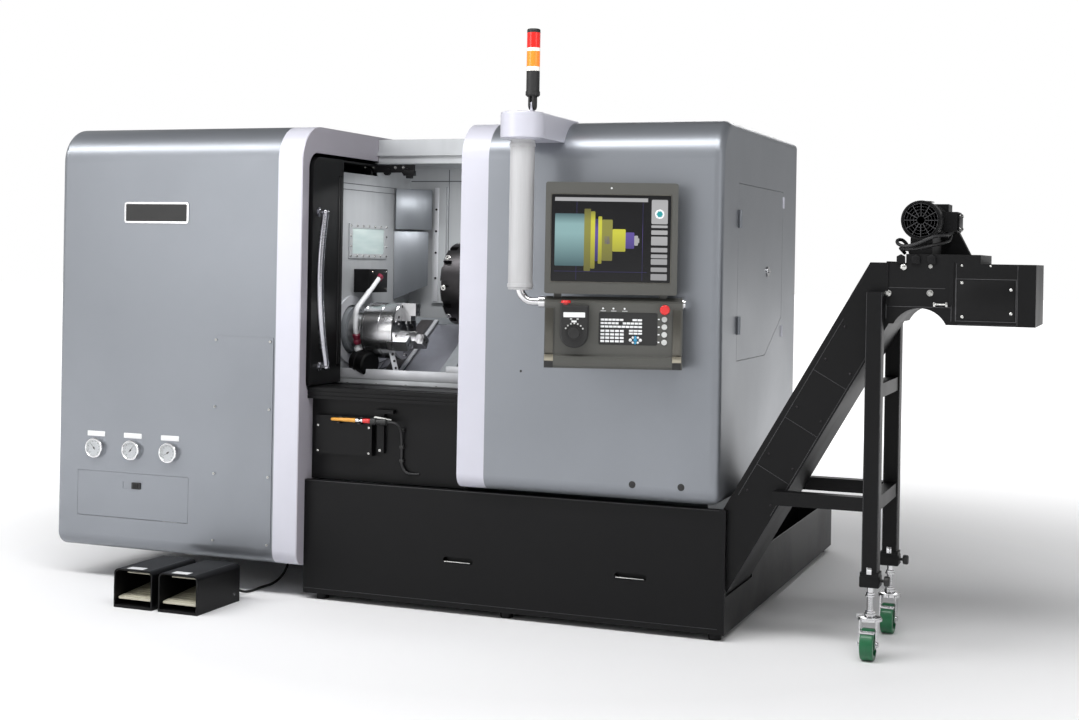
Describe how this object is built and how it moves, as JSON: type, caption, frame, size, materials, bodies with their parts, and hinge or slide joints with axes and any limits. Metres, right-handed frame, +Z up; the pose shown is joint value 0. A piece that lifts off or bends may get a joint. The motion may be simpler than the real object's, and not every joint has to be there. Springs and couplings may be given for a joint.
{
  "type": "cnc turning lathe",
  "caption": "Slant-bed turning lathe with a sliding door, three-jaw chuck, tool turret, swivelling control console and an inclined chip conveyor on casters.",
  "frame": {"origin": "floor point under the middle of the machine's outline, pedals and conveyor included", "axes": "+X along the spindle towards the conveyor, +Y to the back, +Z up"},
  "size_m": [3.541, 2.245, 1.991],
  "materials": {
    "cast_iron": "painted casting",
    "steel": "ground steel",
    "dark_steel": "black oxide steel",
    "black_paint": "satin powder coat",
    "dark_paint": "satin dark coat",
    "grey_paint": "satin grey paint",
    "pale_paint": "satin pale paint",
    "light_paint": "satin light grey paint",
    "sheet_steel": "satin grey sheet",
    "chrome": "polished",
    "gauge": "glass and metal dial",
    "window": "clear laminated pane",
    "screen": "dark display glass",
    "console_paint": "dark grey enamel",
    "black_plastic": "fine matte",
    "pale_plastic": "moulded",
    "red_plastic": "moulded",
    "lens": "ribbed lens",
    "green_tread": "polyurethane tread",
    "cream_plastic": "ribbed tread plate",
    "cable": "smooth sheath"
  },
  "bodies": {
    "machine": {"bed_casting": "cast_iron", "leveling_feet": "steel", "coolant_tank": "black_paint", "left_housing": "grey_paint", "left_trim": "pale_paint", "right_housing": "grey_paint", "right_trim": "pale_paint", "service_panel": "grey_paint", "pressure_gauges": "gauge", "front_recess": "black_paint", "chamber_liner": "sheet_steel", "way_covers": "sheet_steel", "headstock": "cast_iron", "coolant_pipe": "chrome", "rear_cabinet": "grey_paint", "pendant_bracket": "pale_paint", "conveyor_body": "black_paint", "conveyor_motor": "black_paint", "chain_guard": "black_paint", "conveyor_legs": "black_paint", "pedal_cases": "black_paint", "pedal_cord": "cable"},
    "door": {"door_panel": "black_paint", "door_window": "window", "door_handle": "dark_paint"},
    "spindle": {"spindle": "steel", "chuck_body": "chrome"},
    "jaw_1": {"jaw_1": "steel"},
    "jaw_2": {"jaw_2": "steel"},
    "jaw_3": {"jaw_3": "steel"},
    "carriage": {"saddle": "cast_iron"},
    "cross_slide": {"cross_slide": "cast_iron"},
    "turret": {"turret_disc": "dark_steel"},
    "tailstock": {"tailstock": "cast_iron"},
    "quill": {"quill": "steel"},
    "mast": {"mast_tube": "light_paint"},
    "monitor": {"monitor": "console_paint", "screen_glass": "screen"},
    "keyboard": {"keyboard_panel": "console_paint", "handheld_unit": "black_plastic"},
    "handwheel": {"handwheel": "black_plastic"},
    "estop_left": {"estop_left": "red_plastic"},
    "estop_right": {"estop_right": "red_plastic"},
    "button_1": {"button_1": "pale_plastic"},
    "button_2": {"button_2": "pale_plastic"},
    "button_3": {"button_3": "pale_plastic"},
    "button_4": {"button_4": "pale_plastic"},
    "light_tower": {"beacon_base": "black_plastic", "beacon_lenses": "lens"},
    "side_door": {"side_door": "grey_paint"},
    "side_latch": {"side_latch": "chrome"},
    "flap": {"flap": "grey_paint"},
    "flap_latch": {"flap_latch": "black_plastic"},
    "caster_front": {"caster_fork_front": "chrome"},
    "caster_rear": {"caster_fork_rear": "chrome"},
    "wheel_front": {"caster_wheel_front": "green_tread"},
    "wheel_rear": {"caster_wheel_rear": "green_tread"},
    "brake_lever": {"brake_lever": "steel"},
    "treadle_left": {"treadle_left": "cream_plastic"},
    "treadle_right": {"treadle_right": "cream_plastic"}
  },
  "joints": [
    {"name": "door_slide", "type": "slide", "parent": "machine", "child": "door", "axis": [1, 0, 0], "range_m": [0, 0.6]},
    {"name": "spindle_spin", "type": "hinge", "parent": "machine", "child": "spindle", "pos_m": [-0.7305, -0.3675, 0.955], "axis": [1, 0, 0], "continuous": true},
    {"name": "jaw_1_slide", "type": "slide", "parent": "spindle", "child": "jaw_1", "axis": [0, 0, 1], "range_m": [-0.0037, 0.0037]},
    {"name": "jaw_2_slide", "type": "slide", "parent": "spindle", "child": "jaw_2", "axis": [0, -0.866, -0.5], "range_m": [-0.0037, 0.0037]},
    {"name": "jaw_3_slide", "type": "slide", "parent": "spindle", "child": "jaw_3", "axis": [0, 0.866, -0.5], "range_m": [-0.0037, 0.0037]},
    {"name": "carriage_slide", "type": "slide", "parent": "machine", "child": "carriage", "axis": [1, 0, 0], "range_m": [0, 0.35]},
    {"name": "cross_slide_slide", "type": "slide", "parent": "carriage", "child": "cross_slide", "axis": [0, 0.866, 0.5], "range_m": [-0.165, 0]},
    {"name": "turret_index", "type": "hinge", "parent": "cross_slide", "child": "turret", "pos_m": [-0.3505, -0.06093, 1.132], "axis": [1, 0, 0], "continuous": true},
    {"name": "tailstock_slide", "type": "slide", "parent": "machine", "child": "tailstock", "axis": [1, 0, 0], "range_m": [-0.25, 0]},
    {"name": "quill_slide", "type": "slide", "parent": "tailstock", "child": "quill", "axis": [1, 0, 0], "range_m": [-0.08, 0]},
    {"name": "pendant_swivel", "type": "hinge", "parent": "machine", "child": "mast", "pos_m": [0.1865, -0.9575, 1.65], "axis": [0, 0, 1], "range_deg": [-110, 0]},
    {"name": "monitor_tilt", "type": "hinge", "parent": "mast", "child": "monitor", "pos_m": [0.46259, -0.86243, 1.097], "axis": [0.9455, 0.3256, 0], "range_deg": [0, 10]},
    {"name": "keyboard_tilt", "type": "hinge", "parent": "mast", "child": "keyboard", "pos_m": [0.46259, -0.86243, 1.097], "axis": [-0.9455, -0.3256, 0], "range_deg": [0, 12]},
    {"name": "handwheel_turn", "type": "hinge", "parent": "keyboard", "child": "handwheel", "pos_m": [0.38537, -0.98527, 1], "axis": [0.3256, -0.9455, 0], "continuous": true},
    {"name": "estop_left_press", "type": "slide", "parent": "keyboard", "child": "estop_left", "axis": [0, 0, -1], "range_m": [0, 0.004]},
    {"name": "estop_right_press", "type": "slide", "parent": "keyboard", "child": "estop_right", "axis": [-0.3256, 0.9455, 0], "range_m": [0, 0.004]},
    {"name": "button_1_press", "type": "slide", "parent": "keyboard", "child": "button_1", "axis": [-0.3256, 0.9455, 0], "range_m": [0, 0.003], "stiffness_N_per_m": 300},
    {"name": "button_2_press", "type": "slide", "parent": "keyboard", "child": "button_2", "axis": [-0.3256, 0.9455, 0], "range_m": [0, 0.003], "stiffness_N_per_m": 300},
    {"name": "button_3_press", "type": "slide", "parent": "keyboard", "child": "button_3", "axis": [-0.3256, 0.9455, 0], "range_m": [0, 0.003], "stiffness_N_per_m": 300},
    {"name": "button_4_press", "type": "slide", "parent": "keyboard", "child": "button_4", "axis": [-0.3256, 0.9455, 0], "range_m": [0, 0.003], "stiffness_N_per_m": 300},
    {"name": "tower_fold", "type": "hinge", "parent": "machine", "child": "light_tower", "pos_m": [0.1865, -0.8755, 1.741], "axis": [1, 0, 0], "range_deg": [-90, 0]},
    {"name": "side_door_hinge", "type": "hinge", "parent": "machine", "child": "side_door", "pos_m": [0.8125, -0.5485, 1.202], "axis": [0, 0, 1], "range_deg": [-45, 0]},
    {"name": "side_latch_turn", "type": "hinge", "parent": "side_door", "child": "side_latch", "pos_m": [0.8065, -0.1125, 1.202], "axis": [1, 0, 0], "range_deg": [0, 90]},
    {"name": "flap_hinge", "type": "hinge", "parent": "machine", "child": "flap", "pos_m": [-1.4315, -0.7655, 0.243], "axis": [1, 0, 0], "range_deg": [0, 110]},
    {"name": "flap_latch_slide", "type": "slide", "parent": "flap", "child": "flap_latch", "axis": [-1, 0, 0], "range_m": [0, 0.02]},
    {"name": "caster_front_swivel", "type": "hinge", "parent": "machine", "child": "caster_front", "pos_m": [1.2915, -0.7205, 0.2], "axis": [0, 0, 1], "continuous": true},
    {"name": "wheel_front_roll", "type": "hinge", "parent": "caster_front", "child": "wheel_front", "pos_m": [1.2915, -0.7455, 0.05], "axis": [1, 0, 0], "continuous": true},
    {"name": "caster_rear_swivel", "type": "hinge", "parent": "machine", "child": "caster_rear", "pos_m": [1.2915, -0.3185, 0.2], "axis": [0, 0, 1], "continuous": true},
    {"name": "wheel_rear_roll", "type": "hinge", "parent": "caster_rear", "child": "wheel_rear", "pos_m": [1.2915, -0.3435, 0.05], "axis": [1, 0, 0], "continuous": true},
    {"name": "brake_press", "type": "hinge", "parent": "caster_front", "child": "brake_lever", "pos_m": [1.2615, -0.7145, 0.098], "axis": [1, 0, 0], "range_deg": [-12, 0]},
    {"name": "treadle_left_press", "type": "hinge", "parent": "machine", "child": "treadle_left", "pos_m": [-1.1695, -0.9185, 0.036], "axis": [1, 0, 0], "range_deg": [0, 5], "stiffness_Nm_per_rad": 20},
    {"name": "treadle_right_press", "type": "hinge", "parent": "machine", "child": "treadle_right", "pos_m": [-0.9875, -0.9185, 0.036], "axis": [1, 0, 0], "range_deg": [0, 5], "stiffness_Nm_per_rad": 20}
  ],
  "couplings": [
    {"joint": "jaw_2_slide", "follows": "jaw_1_slide", "ratio": 1},
    {"joint": "jaw_3_slide", "follows": "jaw_1_slide", "ratio": 1}
  ]
}
